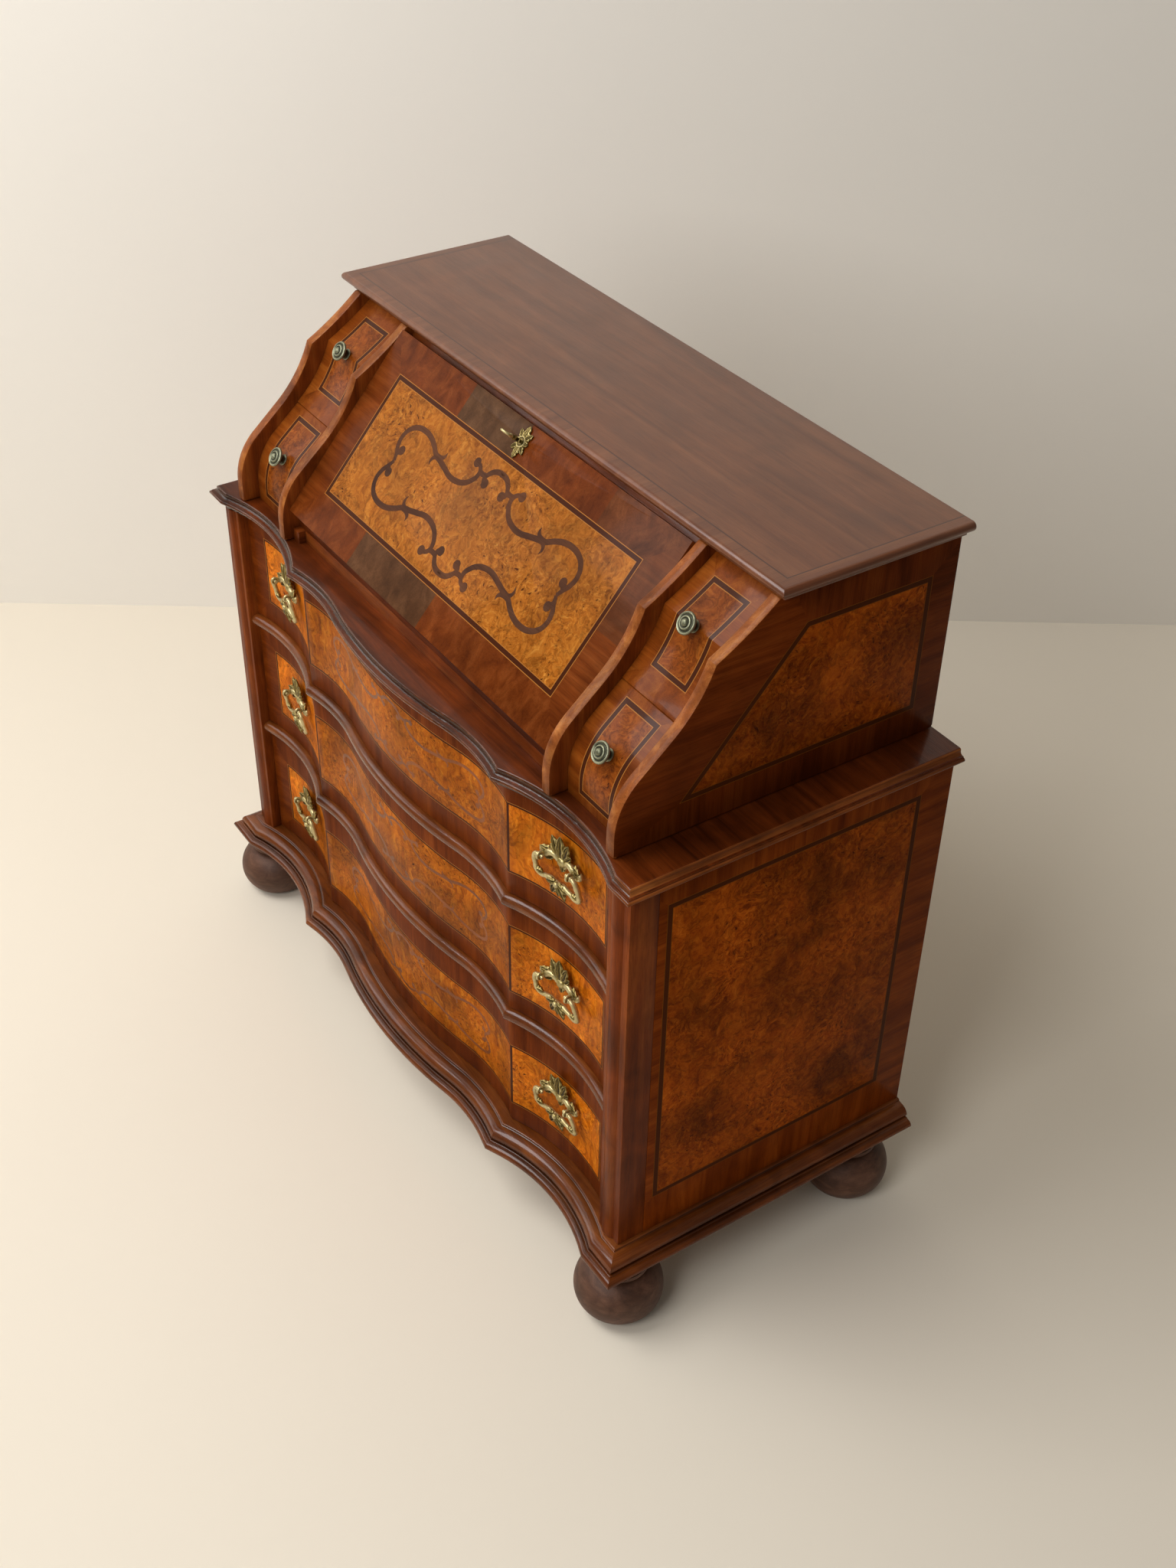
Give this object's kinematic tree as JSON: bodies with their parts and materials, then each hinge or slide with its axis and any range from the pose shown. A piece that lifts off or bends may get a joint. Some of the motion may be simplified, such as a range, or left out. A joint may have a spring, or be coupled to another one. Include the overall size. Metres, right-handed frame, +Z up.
{
  "type": "secretary commode",
  "caption": "Slope-front secretary on a serpentine chest of drawers with bun feet, S-shaped cheeks, small side drawers, bail pulls and a fall-front writing flap.",
  "frame": {"origin": "on the floor under the middle of the bounding box", "axes": "+X to the right seen from the front, +Y to the back, +Z up; drawers open towards -Y"},
  "size_m": [1.1608, 0.5471, 1.056],
  "materials": {
    "walnut": "shellac, semi-gloss",
    "walnut_burl": "shellac, semi-gloss",
    "stained_feet": "stained, satin",
    "pine": "bare, planed",
    "aged_brass": "aged cast brass"
  },
  "bodies": {
    "carcass": {"bottom_board": "pine", "bun_feet": "stained_feet", "carcass_back": "pine", "desk_bearer": "walnut", "desk_floor": "walnut", "drawer_rails": "walnut", "drawer_runners": "pine", "drawer_shelves": "pine", "flap_stop_rail": "walnut", "hinge_floor_leaves": "aged_brass", "inner_cheek_left": "walnut", "inner_cheek_right": "walnut", "mid_board": "walnut", "plinth_front": "walnut", "plinth_left": "walnut", "plinth_right": "walnut", "post_left": "walnut", "post_right": "walnut", "side_left": "walnut_burl", "side_right": "walnut_burl", "top_board": "walnut", "upper_back": "pine", "upper_side_left": "walnut_burl", "upper_side_right": "walnut_burl"},
    "top_drawer": {"top_drawer_front": "walnut_burl", "top_drawer_box": "pine", "top_drawer_bottom": "pine", "top_drawer_pull_plates": "aged_brass"},
    "top_drawer_bail_left": {"top_drawer_bail_left": "aged_brass"},
    "top_drawer_bail_right": {"top_drawer_bail_right": "aged_brass"},
    "middle_drawer": {"middle_drawer_front": "walnut_burl", "middle_drawer_box": "pine", "middle_drawer_bottom": "pine", "middle_drawer_pull_plates": "aged_brass"},
    "middle_drawer_bail_left": {"middle_drawer_bail_left": "aged_brass"},
    "middle_drawer_bail_right": {"middle_drawer_bail_right": "aged_brass"},
    "bottom_drawer": {"bottom_drawer_front": "walnut_burl", "bottom_drawer_box": "pine", "bottom_drawer_bottom": "pine", "bottom_drawer_pull_plates": "aged_brass"},
    "bottom_drawer_bail_left": {"bottom_drawer_bail_left": "aged_brass"},
    "bottom_drawer_bail_right": {"bottom_drawer_bail_right": "aged_brass"},
    "small_upper_left": {"small_upper_front_left": "walnut_burl", "small_upper_tray_left": "pine", "small_upper_knob_left": "aged_brass"},
    "small_upper_right": {"small_upper_front_right": "walnut_burl", "small_upper_tray_right": "pine", "small_upper_knob_right": "aged_brass"},
    "small_lower_left": {"small_lower_front_left": "walnut_burl", "small_lower_tray_left": "pine", "small_lower_knob_left": "aged_brass"},
    "small_lower_right": {"small_lower_front_right": "walnut_burl", "small_lower_tray_right": "pine", "small_lower_knob_right": "aged_brass"},
    "flap": {"flap": "walnut_burl", "hinge_flap_leaves": "aged_brass", "escutcheon": "aged_brass"},
    "key": {"key": "aged_brass"},
    "loper_left": {"loper_left": "walnut"},
    "loper_right": {"loper_right": "walnut"}
  },
  "joints": [
    {"name": "top_drawer_slide", "type": "slide", "parent": "carcass", "child": "top_drawer", "axis": [0, -1, 0], "range_m": [0, 0.33]},
    {"name": "middle_drawer_slide", "type": "slide", "parent": "carcass", "child": "middle_drawer", "axis": [0, -1, 0], "range_m": [0, 0.33]},
    {"name": "bottom_drawer_slide", "type": "slide", "parent": "carcass", "child": "bottom_drawer", "axis": [0, -1, 0], "range_m": [0, 0.33]},
    {"name": "small_upper_left_slide", "type": "slide", "parent": "carcass", "child": "small_upper_left", "axis": [0, -1, 0], "range_m": [0, 0.26]},
    {"name": "small_upper_right_slide", "type": "slide", "parent": "carcass", "child": "small_upper_right", "axis": [0, -1, 0], "range_m": [0, 0.26]},
    {"name": "small_lower_left_slide", "type": "slide", "parent": "carcass", "child": "small_lower_left", "axis": [0, -1, 0], "range_m": [0, 0.32]},
    {"name": "small_lower_right_slide", "type": "slide", "parent": "carcass", "child": "small_lower_right", "axis": [0, -1, 0], "range_m": [0, 0.32]},
    {"name": "loper_left_slide", "type": "slide", "parent": "carcass", "child": "loper_left", "axis": [0, -1, 0], "range_m": [0, 0.2]},
    {"name": "loper_right_slide", "type": "slide", "parent": "carcass", "child": "loper_right", "axis": [0, -1, 0], "range_m": [0, 0.2]},
    {"name": "flap_hinge", "type": "hinge", "parent": "carcass", "child": "flap", "pos_m": [0, -0.17736, 0.79675], "axis": [1, 0, 0], "range_deg": [0, 130.74]},
    {"name": "key_turn", "type": "hinge", "parent": "flap", "child": "key", "pos_m": [0, -0.01698, 1.01361], "axis": [0, -0.7577, 0.6526], "range_deg": [0, 90]},
    {"name": "top_drawer_bail_left_swing", "type": "hinge", "parent": "top_drawer", "child": "top_drawer_bail_left", "pos_m": [-0.36843, -0.20246, 0.66575], "axis": [-0.9927, 0.1209, 0], "range_deg": [0, 80]},
    {"name": "top_drawer_bail_right_swing", "type": "hinge", "parent": "top_drawer", "child": "top_drawer_bail_right", "pos_m": [0.36843, -0.20246, 0.66575], "axis": [-0.9927, -0.1209, 0], "range_deg": [0, 80]},
    {"name": "middle_drawer_bail_left_swing", "type": "hinge", "parent": "middle_drawer", "child": "middle_drawer_bail_left", "pos_m": [-0.36843, -0.20246, 0.46575], "axis": [-0.9927, 0.1209, 0], "range_deg": [0, 80]},
    {"name": "middle_drawer_bail_right_swing", "type": "hinge", "parent": "middle_drawer", "child": "middle_drawer_bail_right", "pos_m": [0.36843, -0.20246, 0.46575], "axis": [-0.9927, -0.1209, 0], "range_deg": [0, 80]},
    {"name": "bottom_drawer_bail_left_swing", "type": "hinge", "parent": "bottom_drawer", "child": "bottom_drawer_bail_left", "pos_m": [-0.36843, -0.20246, 0.2565], "axis": [-0.9927, 0.1209, 0], "range_deg": [0, 80]},
    {"name": "bottom_drawer_bail_right_swing", "type": "hinge", "parent": "bottom_drawer", "child": "bottom_drawer_bail_right", "pos_m": [0.36843, -0.20246, 0.2565], "axis": [-0.9927, -0.1209, 0], "range_deg": [0, 80]}
  ]
}
